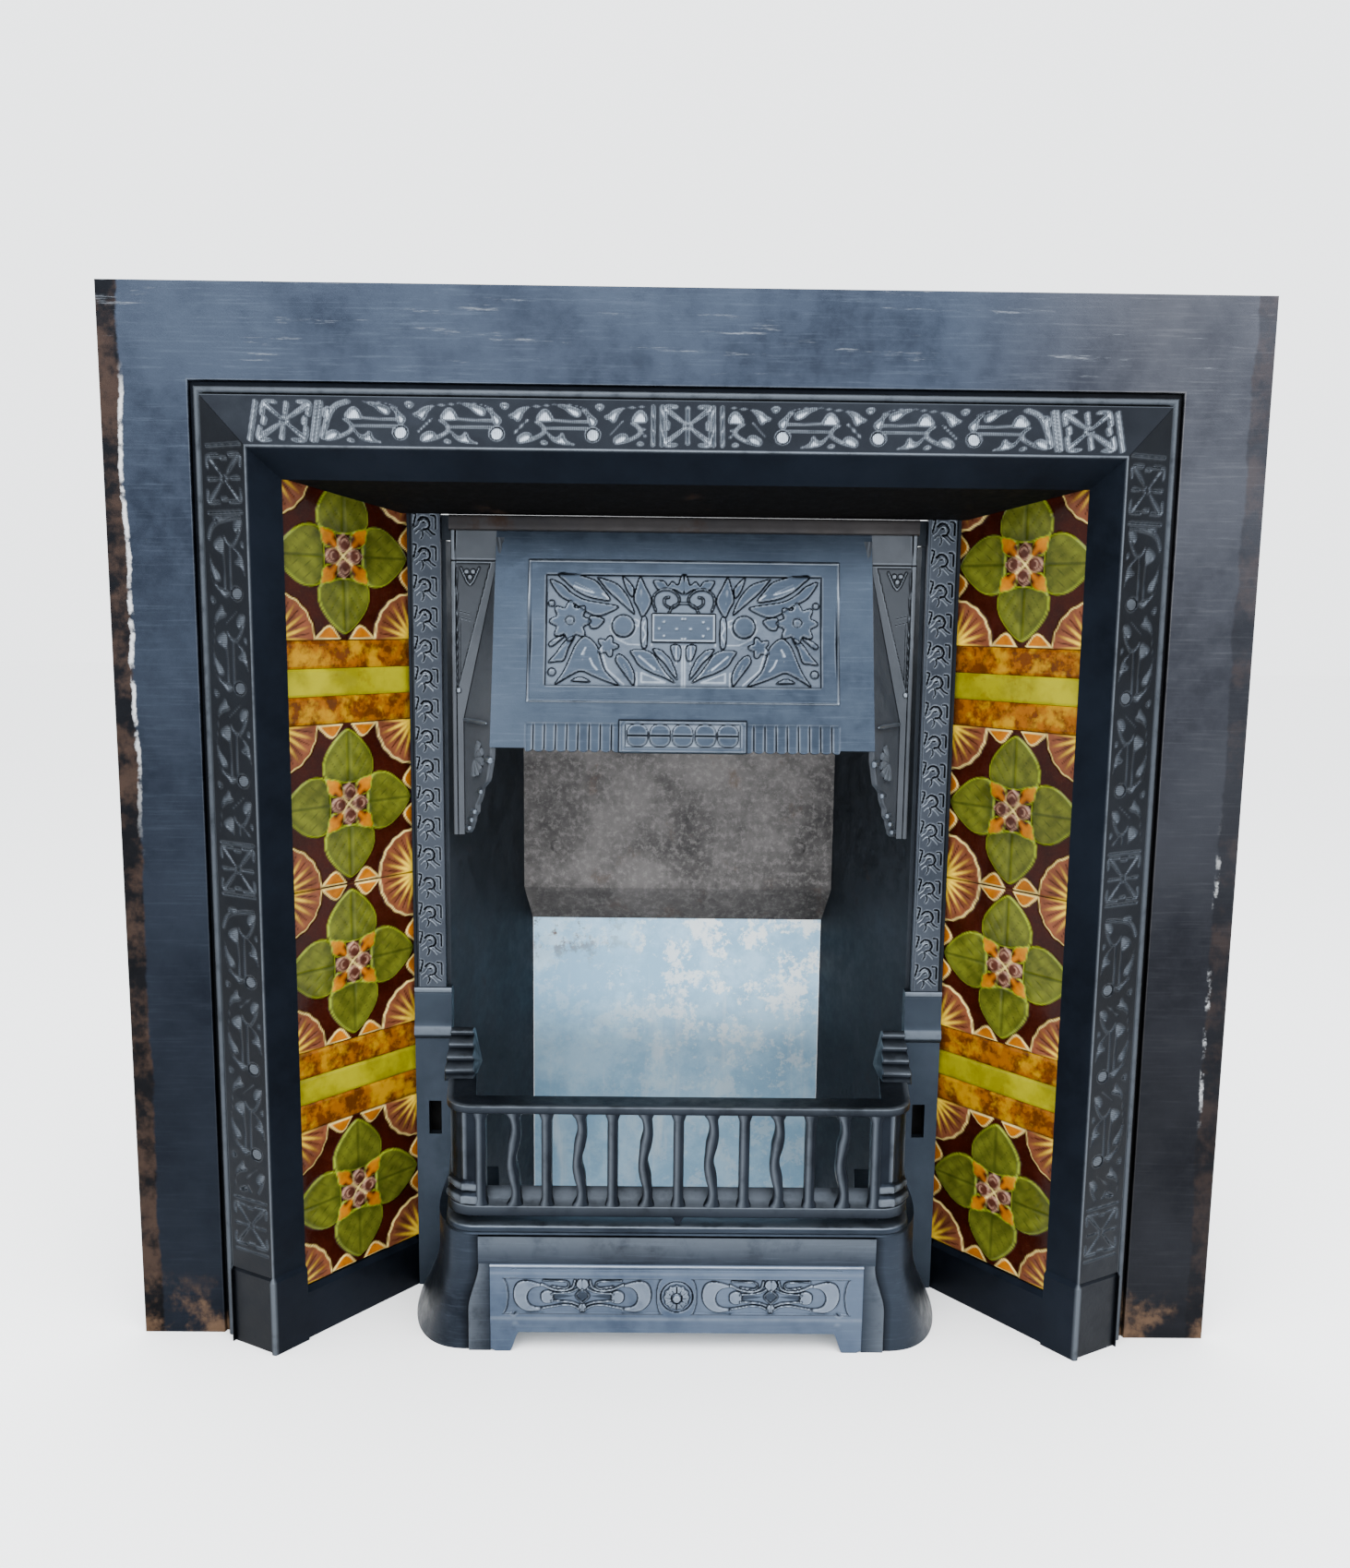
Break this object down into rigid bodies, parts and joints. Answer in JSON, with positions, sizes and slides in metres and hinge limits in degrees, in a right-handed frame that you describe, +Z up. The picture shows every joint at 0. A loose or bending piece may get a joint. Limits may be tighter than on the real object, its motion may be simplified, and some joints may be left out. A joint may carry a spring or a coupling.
{
  "type": "tiled cast iron fireplace insert",
  "caption": "Cast iron fireplace insert with splayed tiled cheeks, ornamental band, hood, barred grate and ashpan cover, for building into a chimney breast.",
  "frame": {"origin": "on the floor under the middle of the insert", "axes": "+Z up, front faces -Y, +X to the viewer's right"},
  "size_m": [1.016, 0.3244, 0.965],
  "materials": {
    "blackened_iron": "black-leaded castings, dull with silvery worn ridges and some rust at the edges",
    "flower_glaze": "relief-moulded ceramic with green, amber, cream and maroon majolica glazes",
    "amber_glaze": "glossy mottled amber and brown glaze on ceramic",
    "olive_glaze": "glossy olive-yellow glaze on ceramic",
    "fireback": "rough grey burnt casting",
    "galvanised": "dull galvanised sheet, scratched and spotted"
  },
  "bodies": {
    "root": {"ashpan_cover": "blackened_iron", "back_sheet": "galvanised", "canopy": "blackened_iron", "fireback": "fireback", "front_plate": "blackened_iron", "grate_base": "blackened_iron", "grate_front": "blackened_iron", "left_border_tile_1": "amber_glaze", "left_border_tile_2": "olive_glaze", "left_border_tile_3": "amber_glaze", "left_border_tile_4": "amber_glaze", "left_border_tile_5": "olive_glaze", "left_border_tile_6": "amber_glaze", "left_cheek_frame": "blackened_iron", "left_fireback_bolt": "blackened_iron", "left_firebox_wall": "blackened_iron", "left_flower_tile_1": "flower_glaze", "left_flower_tile_2": "flower_glaze", "left_flower_tile_3": "flower_glaze", "left_flower_tile_4": "flower_glaze", "left_jamb": "blackened_iron", "right_border_tile_1": "amber_glaze", "right_border_tile_2": "olive_glaze", "right_border_tile_3": "amber_glaze", "right_border_tile_4": "amber_glaze", "right_border_tile_5": "olive_glaze", "right_border_tile_6": "amber_glaze", "right_cheek_frame": "blackened_iron", "right_fireback_bolt": "blackened_iron", "right_firebox_wall": "blackened_iron", "right_flower_tile_1": "flower_glaze", "right_flower_tile_2": "flower_glaze", "right_flower_tile_3": "flower_glaze", "right_flower_tile_4": "flower_glaze", "right_jamb": "blackened_iron", "soffit_plate": "blackened_iron"}
  },
  "joints": []
}
